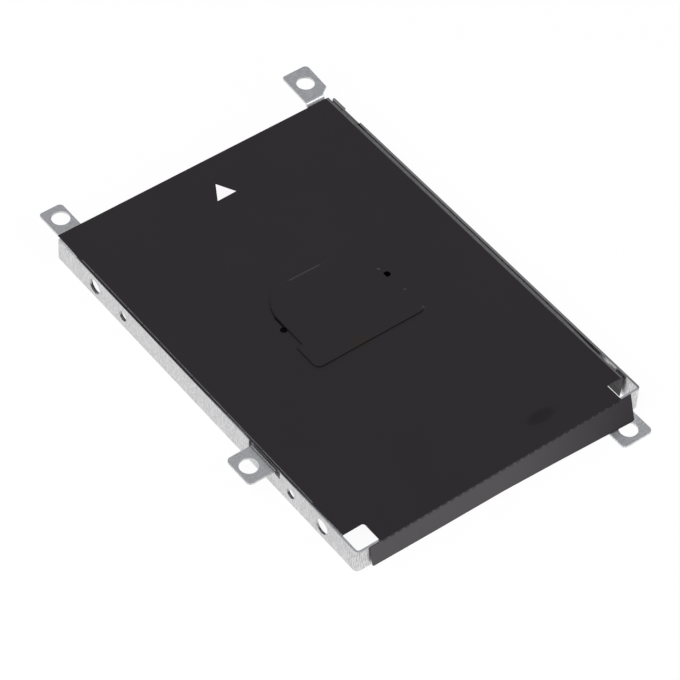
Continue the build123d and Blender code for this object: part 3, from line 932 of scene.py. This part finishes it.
def ink_finish():
    ink = Finish(bpy.data.materials.new("white_ink"))
    grain = ink.noise(*ink.axes(), scale=3.0, detail=3.0)
    ink.set(Base_Color=ink.blend(grain, *INK), Roughness=0.45 + 0.1 * grain)
    return ink.data


arrow = flat_sheet([(x, y, FILM_TOP) for x, y in ARROW])
for number in ARROW_LINES:
    cut(arrow, "y", ARROW[0][1] + number)
for vert in arrow.verts:
    vert.co.z += wave(vert.co.x, vert.co.y) + INK_ABOVE
finished(arrow, "arrow", [ink_finish()], INK_THICKNESS)

# %% [markdown]
# ## Floor
# The caddy stands on a pale floor that glows for the camera and in reflections only, so it looks
# white and lights nothing. Under the film it doesn't glow and is painted dark grey: painted shade,
# which makes the relief holes look dark, as the shaded closed space below them does on the real
# piece.

# %% Floor finish
# under the film the floor is painted dark grey: painted shade
FLOOR_PALE, FLOOR_PAINTED_SHADE = (0.9, 0.9, 0.9), (0.12, 0.12, 0.12)
UNDER_X, UNDER_RAMP = (-32, 36), 5
UNDER_Y = (-36, 51.5)
GLOW = 0.95

ground = Finish(bpy.data.materials.new("floor"))
x, y = ground.axes()[:2]
rays = ("Is Camera Ray", "Is Glossy Ray", "Is Transmission Ray")
camera_ray, glossy_ray, clear_ray = ground.parts("ShaderNodeLightPath", rays)
seen = ground.math("MAXIMUM", ground.math("MAXIMUM", camera_ray, glossy_ray), clear_ray)
ramp = ground.math("MAXIMUM", (x - UNDER_X[0]) / UNDER_RAMP, 0.0)
# painted shade: the floor under the film is dark grey and doesn't glow
shade_under_film = ground.math("MINIMUM", ramp, 1.0) * (x < UNDER_X[1]) * y.within(*UNDER_Y)
ground.set(
    Base_Color=ground.blend(shade_under_film, FLOOR_PALE, FLOOR_PAINTED_SHADE),
    Roughness=0.9,
    Specular_IOR_Level=0.0,
)
glow = ground.node("ShaderNodeEmission", values={"Color": (1, 1, 1, 1), "Strength": 1.0})
pale_floor = Wire(ground, ground.shader.outputs[0])
glow_share = seen * (1 - shade_under_film) * GLOW
shown = ground.node("ShaderNodeMixShader", values=[glow_share, pale_floor, glow])
ground.put(ground.tree.nodes["Material Output"].inputs["Surface"], shown)
print("floor finish ready")

# %% [markdown]
# The floor is one large face. It lies a hair below the caddy, because two faces at the same height
# would flicker into each other.

# %% Floor
FLOOR_HALF = 2.0
FLOOR_DEPTH = 0.02 * MM

floor = bmesh.new()
bmesh.ops.create_grid(floor, x_segments=1, y_segments=1, size=FLOOR_HALF)
bmesh.ops.translate(floor, verts=floor.verts, vec=(0, 0, -FLOOR_DEPTH))
floor_data = bpy.data.meshes.new("floor")
floor.to_mesh(floor_data)
floor.free()
floor_data.materials.append(ground.data)
floor_piece = bpy.data.objects.new("floor", floor_data)
bpy.context.scene.collection.objects.link(floor_piece)
print("floor", 2 * FLOOR_HALF, "m wide")

# %% [markdown]
# ## Light
# The world is white to the camera. To everything else it is grey, so it lights the caddy softly.
# Two square lamps add a little direction.

# %% World and lamps
WORLD_LIGHT = 0.44

sky = Finish(bpy.data.worlds.new("studio"), "Background")
camera_ray = sky.node("ShaderNodeLightPath", output="Is Camera Ray")
brightness = sky.math("MULTIPLY_ADD", camera_ray, 1 - WORLD_LIGHT, WORLD_LIGHT)
sky.set(Color=(1, 1, 1, 1), Strength=brightness)
bpy.context.scene.world = sky.data


def softbox(name, place, aim, size, watts):
    """A square area lamp that points at a place."""
    light = bpy.data.lights.new(name, "AREA")
    light.shape = "SQUARE"
    light.size = size
    light.energy = watts
    lamp = bpy.data.objects.new(name, light)
    bpy.context.scene.collection.objects.link(lamp)
    lamp.location = place
    direction = Vector(aim) - Vector(place)
    lamp.rotation_euler = direction.to_track_quat("-Z", "Y").to_euler()
    print(name, watts, "W")


softbox("key", (-0.9, -0.1, 1.1), aim=(0, 0, 0), size=0.9, watts=14)
softbox("fill", (0.5, -1.0, 0.9), aim=(0, 0, 0), size=0.9, watts=6)

# %% [markdown]
# ## Camera
# Its place, direction and lens were fitted to the photo, with the pitch of the frame's side holes
# as the measure.

# %% Camera
CAMERA_PLACE = (-0.28739444, -0.34043198, 0.50413685)
CAMERA_ANGLES = (41.31256481, -2.21148919, -37.48280631)
CAMERA_LENS, CAMERA_SENSOR = 174.977, 36.0  # millimetres

camera = bpy.data.objects.new("camera", bpy.data.cameras.new("camera"))
bpy.context.scene.collection.objects.link(camera)
camera.location = CAMERA_PLACE
camera.rotation_euler = [math.radians(angle) for angle in CAMERA_ANGLES]
camera.data.lens = CAMERA_LENS
camera.data.sensor_width = CAMERA_SENSOR
bpy.context.scene.camera = camera
bpy.context.scene.view_settings.view_transform = "Standard"
print("camera", [round(v, 4) for v in camera.location], "lens", camera.data.lens)
